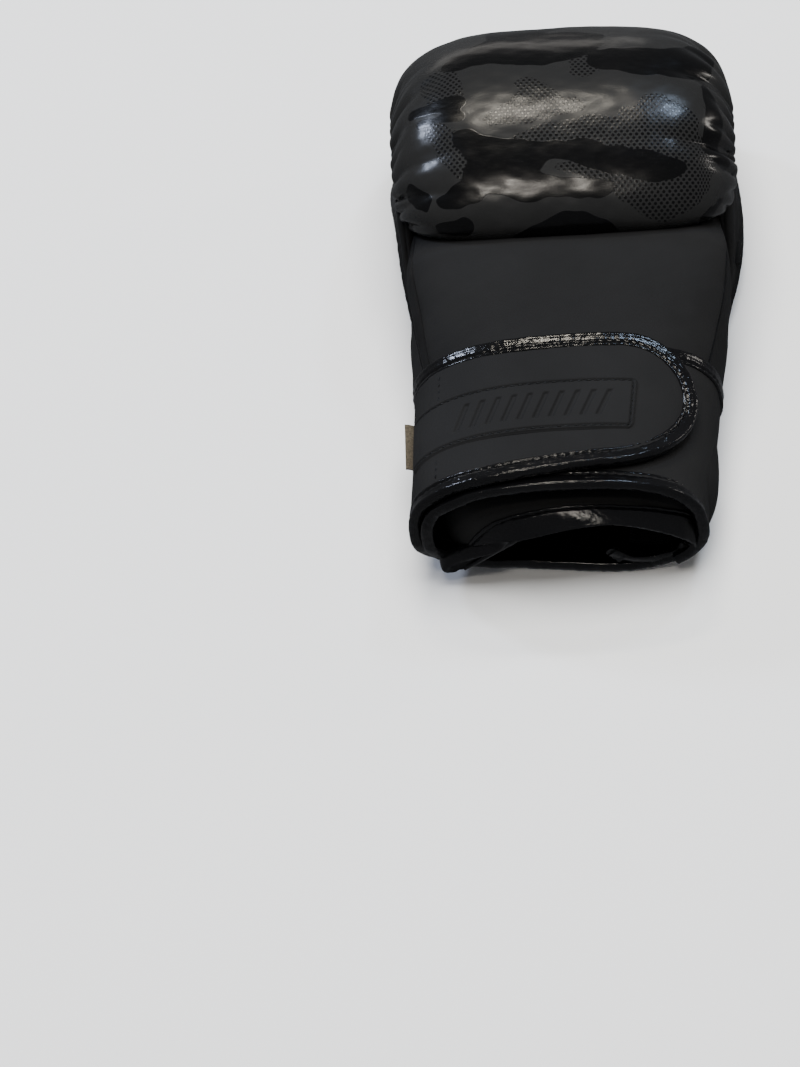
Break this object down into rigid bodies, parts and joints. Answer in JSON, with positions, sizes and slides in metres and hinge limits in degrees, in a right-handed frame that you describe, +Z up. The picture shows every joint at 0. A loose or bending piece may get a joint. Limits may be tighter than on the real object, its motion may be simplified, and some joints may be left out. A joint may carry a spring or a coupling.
{
  "type": "martial arts sparring glove",
  "caption": "Open-palm sparring glove with a rolled knuckle pad, finger loops, thumb sheath and wound wrist strap, lying palm down.",
  "frame": {"origin": "on the table under the middle of the glove's bounding box", "axes": "+Y from the wrist to the fingers, +X towards the little finger, +Z up through the back of the hand"},
  "size_m": [0.13, 0.2209, 0.0879],
  "materials": {
    "matt_leather": "matt, fine grain",
    "camouflage_leather": "satin, with a tone-on-tone camouflage of matt grey and gloss black",
    "edge_tape": "high-gloss patent",
    "foam": "closed-cell foam, not seen",
    "lining": "ribbed textile, matt",
    "loop_fabric": "napped loop fabric",
    "hook_tape": "hook tape",
    "woven_tab": "plain woven tab"
  },
  "bodies": {
    "glove_body": {"back_panel_cover": "matt_leather", "back_panel_foam": "foam", "hand_lining": "lining", "side_wall_little": "matt_leather", "side_wall_index": "matt_leather", "knuckle_welt": "edge_tape", "heel_panel": "matt_leather", "heel_foam": "foam", "heel_binding": "edge_tape", "cuff_shell": "matt_leather", "cuff_lining": "lining", "cuff_binding": "edge_tape", "strap_first_turn": "matt_leather", "strap_first_turn_tape": "edge_tape", "loop_field": "loop_fabric", "strap_palm_band": "matt_leather", "strap_palm_band_tape": "edge_tape", "size_tab": "woven_tab"},
    "finger_pad": {"knuckle_pad_cover": "camouflage_leather", "knuckle_pad_foam": "foam", "finger_lining": "lining", "pad_rim_binding": "edge_tape", "pad_side_wall_little": "matt_leather", "pad_side_wall_index": "matt_leather", "palm_panel": "matt_leather", "palm_panel_binding": "edge_tape", "finger_divider_index": "lining", "finger_divider_middle": "lining", "finger_divider_ring": "lining", "finger_edge_index": "edge_tape", "finger_edge_middle": "edge_tape", "finger_edge_ring": "edge_tape", "finger_edge_little": "edge_tape"},
    "thumb": {"thumb_cover": "matt_leather", "thumb_foam": "foam", "thumb_lining": "lining", "thumb_binding": "edge_tape"},
    "strap_tongue": {"strap_tongue": "matt_leather", "strap_tongue_tape": "edge_tape", "hook_field": "hook_tape", "blank_patch": "matt_leather"},
    "strap_tip": {"strap_tip": "matt_leather", "strap_tip_tape": "edge_tape"}
  },
  "joints": [
    {"name": "knuckle_flex", "type": "hinge", "parent": "glove_body", "child": "finger_pad", "pos_m": [0, 0.0025, 0.0645], "axis": [1, 0, 0], "range_deg": [-15, 20], "stiffness_Nm_per_rad": 2},
    {"name": "thumb_spread", "type": "hinge", "parent": "glove_body", "child": "thumb", "pos_m": [-0.061, -0.0452, 0.019], "axis": [0, 0, 1], "range_deg": [0, 15], "stiffness_Nm_per_rad": 0.5},
    {"name": "strap_open", "type": "hinge", "parent": "glove_body", "child": "strap_tongue", "pos_m": [-0.0593, -0.0755, 0.0297], "axis": [0, -1, 0], "range_deg": [0, 120]},
    {"name": "tip_peel", "type": "hinge", "parent": "strap_tongue", "child": "strap_tip", "pos_m": [0.035, -0.0755, 0.0576], "axis": [0, -1, 0], "range_deg": [0, 70]}
  ]
}
